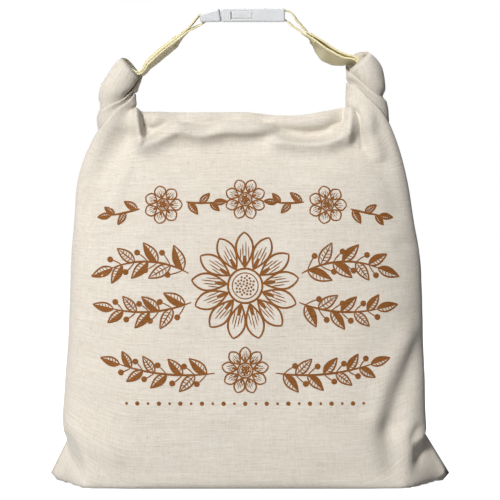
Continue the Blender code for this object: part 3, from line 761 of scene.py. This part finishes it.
def bent_line(start, angle, length, bend, steps):
    """A line that starts at this angle in degrees and turns by bend degrees over its length."""
    points = [np.array(start, float)]
    for step in range(steps):
        heading = math.radians(angle + bend * (step + 0.5) / steps)
        points.append(points[-1] + length / steps * np.array([math.cos(heading), math.sin(heading)]))
    return points


def headings(angle):
    """Unit vectors along this angle in degrees and to the left of it."""
    turned = math.radians(angle)
    return np.array([math.cos(turned), math.sin(turned)]), np.array([-math.sin(turned), math.cos(turned)])


def leaf(ink, start, angle, length, width, inked):
    """An outlined leaf with its midrib; its left half is inked over or veined, its right half veined."""
    heading, sideways = headings(angle)
    shares = np.linspace(0, 1, 12)
    bulge = np.sin(math.pi * shares ** 0.8) * width / 2
    start = np.array(start)
    rib = [start + heading * length * share for share in shares]
    edges = {sign: [point + sideways * sign * out for point, out in zip(rib, bulge)] for sign in (1, -1)}
    for edge in edges.values():
        ink.stroke(edge, 0.0013, 0.6)
    ink.stroke(rib[:-1], 0.0010, 0.3)
    if inked:
        ink.band(rib, edges[1])
    for share in (0.30, 0.44, 0.58, 0.72):
        room = math.sin(math.pi * share ** 0.8) * width / 2 * 0.85
        from_rib = start + heading * length * (share - 0.09)
        for sign in (-1,) if inked else (1, -1):
            ink.stroke([from_rib, start + heading * length * share + sideways * sign * room], 0.0007, 0.3)


# Lines in a petal: place across it, then where along it the line starts and ends
PETAL_HATCHES = ((-0.34, 0.22, 0.60), (-0.12, 0.30, 0.74), (0.14, 0.30, 0.66), (0.34, 0.22, 0.54))


def petal(ink, centre, angle, near, far, width, line):
    """An outlined petal, inked at its foot and hatched from there."""
    heading, sideways = headings(angle)
    shares = np.linspace(0, 1, 16)
    bulge = np.sin(math.pi * shares ** 1.25) ** 0.75 * width / 2
    foot = np.array(centre) + heading * near

    def edge(places, offsets):
        return [foot + heading * (far - near) * s + sideways * b for s, b in zip(places, offsets)]

    for sign in (1, -1):
        ink.stroke(edge(shares, sign * bulge), line, 0.7)
    wedge = np.linspace(0, 0.34, 5)
    inner = np.interp(wedge, shares, bulge) * np.linspace(0.9, 0.15, 5)
    ink.band(edge(wedge, -inner), edge(wedge, inner))
    for offset, start, end in PETAL_HATCHES:
        ink.stroke(edge((start, end), [offset * width * 0.7] * 2), line / 2, 0.3)


def ring_line(centre, radius):
    angles = np.linspace(0, 2 * math.pi, 40)
    return [(centre[0] + radius * math.cos(angle), centre[1] + radius * math.sin(angle)) for angle in angles]


def blossom(ink, centre, radius, petals, turned, line):
    """An open flower: a ring of petals round a heart with a double rim and seeds."""
    for number in range(petals):
        angle = turned + number * 360 / petals
        petal(ink, centre, angle, radius * 0.34, radius, radius * 2 * math.pi / petals * 0.66, line)
    ink.stroke(ring_line(centre, radius * 0.32), line, 1.0)
    ink.stroke(ring_line(centre, radius * 0.24), line / 2, 1.0)
    seeds = int(5 + radius * 750)
    for number in range(seeds):
        out = radius * 0.19 * math.sqrt((number + 0.5) / seeds)
        angle = number * GOLDEN_ANGLE
        ink.spot(centre[0] + out * math.cos(angle), centre[1] + out * math.sin(angle), 0.0008)


STEM_STEPS = 24


def sprig(ink, start, angle, length, bend, leaves, leaf_length, berries=True):
    """A curved stem with leaves by turns on either side, and berries between them."""
    stem = bent_line(start, angle, length, bend, STEM_STEPS)
    ink.stroke(stem, 0.0016, 0.4)
    for number in range(leaves):
        share = 0.12 + 0.76 * number / (leaves - 1)
        index = int(share * STEM_STEPS)
        heading = angle + bend * share
        sign = 1 if number % 2 else -1
        size = leaf_length * (1.0 - 0.25 * share)
        leaf(ink, stem[index], heading + sign * 46, size, size * 0.42, number % 3 != 1)
        if berries:
            twig = bent_line(stem[index], heading - sign * 50, size * 0.60, sign * 20, 4)
            ink.stroke(twig, 0.0009, 0.5)
            ink.spot(*twig[-1], 0.0022)
    leaf(ink, stem[-1], angle + bend, leaf_length * 0.85, leaf_length * 0.34, True)


def make_print(front, material):
    """A plain garden design: a large blossom with sprays to both sides, rows of flowers above and below."""
    ink = Print(FrontCloth(front))
    middle = PRINT_MIDDLE
    blossom(ink, (middle, 0.148), 0.039, 13, 8, 0.0015)
    for sign in (LEFT, RIGHT):
        flip = 180 if sign == LEFT else 0
        sprig(ink, (middle + sign * 0.041, 0.157), flip + sign * 30, 0.058, -sign * 52, 6, 0.0200)
        sprig(ink, (middle + sign * 0.039, 0.136), flip - sign * 22, 0.058, sign * 34, 6, 0.0185)
        blossom(ink, (middle + sign * 0.060, 0.207), 0.0140, 7, 0, 0.0011)
        sprig(ink, (middle + sign * 0.043, 0.209), flip + 180 + sign * 8, 0.020, -sign * 14, 3, 0.0115, False)
        sprig(ink, (middle + sign * 0.077, 0.204), flip - sign * 16, 0.022, sign * 8, 3, 0.0120, False)
        sprig(ink, (middle + sign * 0.022, 0.085), flip - sign * 8, 0.070, sign * 26, 7, 0.0175)
    blossom(ink, (middle, 0.211), 0.0150, 8, 22, 0.0011)
    blossom(ink, (middle, 0.087), 0.0170, 9, 10, 0.0012)
    for number in range(DOTS):
        ink.spot(middle + (number - DOTS // 2) * DOT_PITCH, 0.063, 0.0016 if number % 2 else 0.0010)
    print_piece = mesh_piece("print_ink", ink.points, ink.faces, material, ink.uv)


# The straps, as wide and thick as the part's, and the buckle that they turn round, in the part's own sizes
WEBBING = 0.0013
WEBBING_WIDTH = 0.025
STRAP_STEP, STRAP_COLUMNS = 0.0012, 19
BUCKLE_Y = ROLL_MIDDLE[1]
BUCKLE_Z = 0.3505
BUCKLE_TILT = math.radians(9.0)
MALE_X, MALE_TILT = (-0.0374, -0.0223), math.radians(8.0)
SOCKET_X = (-0.0212, 0.026)
BAR = 0.0032              # the side of a square bar
BAR_X = {LEFT: MALE_X[0] + BAR / 2, RIGHT: SOCKET_X[1] - BAR / 2}
CLEARANCE = 0.0003        # between a corner of the bar and the webbing
# Degrees from which to which the webbing goes round the bar, from below it to above it
LOOP_ARC = {LEFT: (-55, 145), RIGHT: (-90, 90)}
LOOP_STATIONS = 13
# The tongue in the roll: where it ends along the roll's middle line, and how far before that its stations lie
TONGUE_END = {LEFT: 0.1310, RIGHT: 0.1350}
TONGUE_REACH = (0.0065, 0.0030, -0.0005)
TONGUE_HALF_GAP = 0.0009
# The tacks: x of each row, then its stitches
TACKS = {"strap_left": (-0.0560, -0.0490), "strap_right": (0.0408, 0.0474)}
TACK_PITCH, TACK_THICK, TACK_HALF_WIDTH = 0.0009, 0.0006, 0.0123
# Corners of a stitch's box, up and along it, and its faces by the corners of its two ends
TACK_CORNERS = ((-1, -1), (1, -1), (1, 1), (-1, 1))
TACK_FACES = ((0, 1, 2, 3), (7, 6, 5, 4), (0, 4, 5, 1), (1, 5, 6, 2), (2, 6, 7, 3), (3, 7, 4, 0))
# Stations of each strap from the leg to the buckle: x and z of a line between its plies, how far the upper
# ply lies above that line and its twist in degrees, then how far the lower ply lies below it and its twist
STRAPS = {
    "strap_left": (
        (-0.0846, 0.3060, 0.0018, 6, 0.0004, 3),
        (-0.0758, 0.3131, 0.0029, 10, 0.0007, 0),
        (-0.0662, 0.3218, 0.0031, 11, 0.0011, -2),
        (-0.0589, 0.3275, 0.0031, 11, 0.0009, -1),
        (-0.0517, 0.3331, 0.0027, 9, -0.0001, 4),
        (-0.0475, 0.3365, 0.0025, 8, -0.0010, 8),
    ),
    "strap_right": (
        (0.0700, 0.3172, 0.0014, -6, 0.0014, -6),
        (0.0610, 0.3205, 0.0018, -9, 0.0018, -13),
        (0.0542, 0.3256, 0.0020, -6, 0.0020, -10),
        (0.0482, 0.3317, 0.0012, 0, 0.0012, 0),
        (0.0407, 0.3381, 0.0012, 8, 0.0012, 8),
        (0.0340, 0.3440, 0.0026, 9, 0.0026, 9),
    ),
}


def strap_stations(name, side):
    """Centre and width direction of each station: up the lower ply, round the bar, back down the upper."""
    reach = TONGUE_END[side] - np.array(TONGUE_REACH)
    tongue = roll_line(reach, np.full(len(reach), side))[0]
    inside = [(point[0], point[2], TONGUE_HALF_GAP, 0, TONGUE_HALF_GAP, 0) for point in tongue]
    table = inside + list(STRAPS[name])
    middle = np.array([[row[0], row[1]] for row in table])
    heading = np.gradient(middle, axis=0)
    heading /= np.linalg.norm(heading, axis=1)[:, None]
    plies = {1: [], -1: []}
    for (x, z, *both_plies), ahead in zip(table, heading):
        normal = np.array([-ahead[1], 0, ahead[0]]) * (1 if ahead[0] > 0 else -1)
        for ply, gap, twist in ((1, *both_plies[:2]), (-1, *both_plies[2:])):
            angle = math.radians(twist)
            wide = np.array([0, math.cos(angle), 0]) + normal * math.sin(angle)
            lift = normal * math.cos(angle) - np.array([0, math.sin(angle), 0])
            plies[ply].append((np.array([x, BUCKLE_Y, z]) + ply * gap * lift, wide))
    radius = BAR * math.sqrt(0.5) + CLEARANCE + WEBBING / 2
    drop = 0 if side == RIGHT else math.sin(MALE_TILT) * (MALE_X[1] - MALE_X[0])
    centre = np.array([BAR_X[side], BUCKLE_Y, BUCKLE_Z - drop])
    wide = np.array([0.0, math.cos(BUCKLE_TILT), math.sin(BUCKLE_TILT)])
    loop = []
    for degrees in np.linspace(*LOOP_ARC[side], LOOP_STATIONS):
        angle = math.radians(degrees)
        across, up = -side * math.cos(angle), math.sin(angle)
        tilted = np.array([across, -up * math.sin(BUCKLE_TILT), up * math.cos(BUCKLE_TILT)])
        loop.append((centre + radius * tilted, wide))
    return plies[-1] + loop + plies[1][::-1]


def smoothed(stations, step):
    """Centres and width directions at even steps through the stations, and the length up to each."""
    flat = np.array([np.concatenate(station) for station in stations])
    knots = np.concatenate([[0.0], np.cumsum(np.linalg.norm(np.diff(flat[:, :3], axis=0), axis=1))])
    at = np.linspace(0, knots[-1], int(knots[-1] / step) + 1)
    values = np.stack([smooth_through(at, knots, flat[:, axis]) for axis in range(6)], axis=1)
    wide = values[:, 3:] / np.linalg.norm(values[:, 3:], axis=1)[:, None]
    return values[:, :3], wide, at


def make_strap(name, side, material):
    """Makes one strap and returns its centres and width directions."""
    centres, wide, along = smoothed(strap_stations(name, side), STRAP_STEP)
    across = np.linspace(-WEBBING_WIDTH / 2, WEBBING_WIDTH / 2, STRAP_COLUMNS)
    points = (centres[:, None, :] + wide[:, None, :] * across[None, :, None]).reshape(-1, 3)
    uv = np.stack(np.broadcast_arrays(across[None, :], along[:, None]), axis=2).reshape(-1, 2)
    faces = open_faces(len(centres), STRAP_COLUMNS)
    strap = mesh_piece(name.replace("strap", "webbing"), points, faces, material, uv)
    thicken(strap, WEBBING)
    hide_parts(name)
    return centres, wide


def make_tacks(name, centres, wide, places, material):
    """Rows of short thick stitches across the strap, above its upper ply and below its lower one."""
    ahead = np.gradient(centres, axis=0)
    ahead /= np.linalg.norm(ahead, axis=1)[:, None]
    half = len(centres) // 2
    proud = WEBBING / 2 + TACK_THICK * 0.3
    points, faces = [], []
    for x in places:
        for low, high in ((0, half), (half, len(centres))):
            row = low + int(np.argmin(np.abs(centres[low:high, 0] - x)))
            out = np.cross(wide[row], ahead[row])
            out *= 1 if (out[2] > 0) == (low > 0) else -1
            for stitch in range(-2, 3):
                middle = centres[row] + ahead[row] * stitch * TACK_PITCH + out * proud
                first = len(points)
                for across in (-1, 1):
                    for up, along in TACK_CORNERS:
                        points.append(
                            middle
                            + wide[row] * across * TACK_HALF_WIDTH
                            + out * up * TACK_THICK / 2
                            + ahead[row] * along * TACK_THICK / 2
                        )
                faces += [tuple(first + index for index in face) for face in TACK_FACES]
    uv = [(point[1], point[0]) for point in points]
    mesh_piece(name, points, faces, material, uv)


def area_light(name, place, target, size, power):
    light = bpy.data.lights.new(name, "AREA")
    light.shape = "DISK"
    light.size = size
    light.energy = power
    obj = bpy.data.objects.new(name, light)
    obj.location = place
    obj.rotation_euler = (Vector(target) - Vector(place)).to_track_quat("-Z", "Y").to_euler()
    bpy.context.scene.collection.objects.link(obj)


def make_floor():
    material, _, shader = new_material("pale_floor", 0.9)
    shader.inputs["Base Color"].default_value = (0.93, 0.93, 0.93, 1)
    shader.inputs["Emission Color"].default_value = (1, 1, 1, 1)
    shader.inputs["Emission Strength"].default_value = 0.80
    shader.inputs["Specular IOR Level"].default_value = 0.0
    bpy.ops.mesh.primitive_plane_add(size=60, location=(0, 0, 0))
    floor = bpy.context.object
    floor.name = "floor"
    floor.data.materials.append(material)
    floor.visible_diffuse = False


def make_world():
    """A room that is seen as white and lights the bag mostly from the left."""
    world = bpy.data.worlds.new("white_room")
    world.use_nodes = True
    bpy.context.scene.world = world
    tree = world.node_tree
    background = tree.nodes["Background"]
    background.inputs["Color"].default_value = (1, 1, 1, 1)
    split = tree.nodes.new("ShaderNodeSeparateXYZ")
    tree.links.new(tree.nodes.new("ShaderNodeTexCoord").outputs["Generated"], split.inputs[0])
    side_light = node(tree, "ShaderNodeMapRange", From_Min=-1.0, From_Max=1.0, To_Min=0.44, To_Max=0.05)
    tree.links.new(split.outputs["X"], side_light.inputs["Value"])
    tree.links.new(side_light.outputs[0], background.inputs["Strength"])
    seen = node(tree, "ShaderNodeBackground", Color=(1, 1, 1, 1), Strength=1.0)
    mix = tree.nodes.new("ShaderNodeMixShader")
    path = tree.nodes.new("ShaderNodeLightPath")
    tree.links.new(path.outputs["Is Camera Ray"], mix.inputs[0])
    tree.links.new(background.outputs[0], mix.inputs[1])
    tree.links.new(seen.outputs[0], mix.inputs[2])
    tree.links.new(mix.outputs[0], tree.nodes["World Output"].inputs["Surface"])


def make_lights():
    area_light("key_upper_left", (-1.40, -3.20, 1.85), (0, 0, 0.17), 0.65, 148)
    area_light("low_front", (0.1, -1.6, 0.10), (0, 0, 0.2), 0.5, 1.6)
    area_light("top_back", (-0.3, 0.9, 1.5), (0, 0, 0.2), 0.9, 9)


# The level camera: the width that it sees at y = 0, and its sensor in millimetres
VIEW_WIDTH = 0.375
CAMERA_DISTANCE, CAMERA_HEIGHT = 1.1, 0.174
SENSOR = 36


def make_camera():
    camera = bpy.data.cameras.new("camera")
    camera.sensor_width = SENSOR
    camera.lens = SENSOR * CAMERA_DISTANCE / VIEW_WIDTH
    obj = bpy.data.objects.new("camera", camera)
    obj.location = (0, -CAMERA_DISTANCE, CAMERA_HEIGHT)
    obj.rotation_euler = (math.pi / 2, 0, 0)
    bpy.context.scene.collection.objects.link(obj)
    bpy.context.scene.camera = obj


make_camera()
make_floor()
make_world()
make_lights()
bpy.context.scene.view_settings.view_transform = "Standard"
make_print(make_cloth(cloth_material()), ink_material())
webbing_look = webbing_material()
for strap_name, at_side in (("strap_left", LEFT), ("strap_right", RIGHT)):
    middles, widths = make_strap(strap_name, at_side, webbing_look)
    make_tacks(strap_name.replace("strap", "tacks"), middles, widths, TACKS[strap_name], webbing_look)
plastic_look = plastic_material()
for buckle in ("buckle_male", "buckle_female"):
    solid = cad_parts[buckle]
    solid.data.materials.clear()
    solid.data.materials.append(plastic_look)
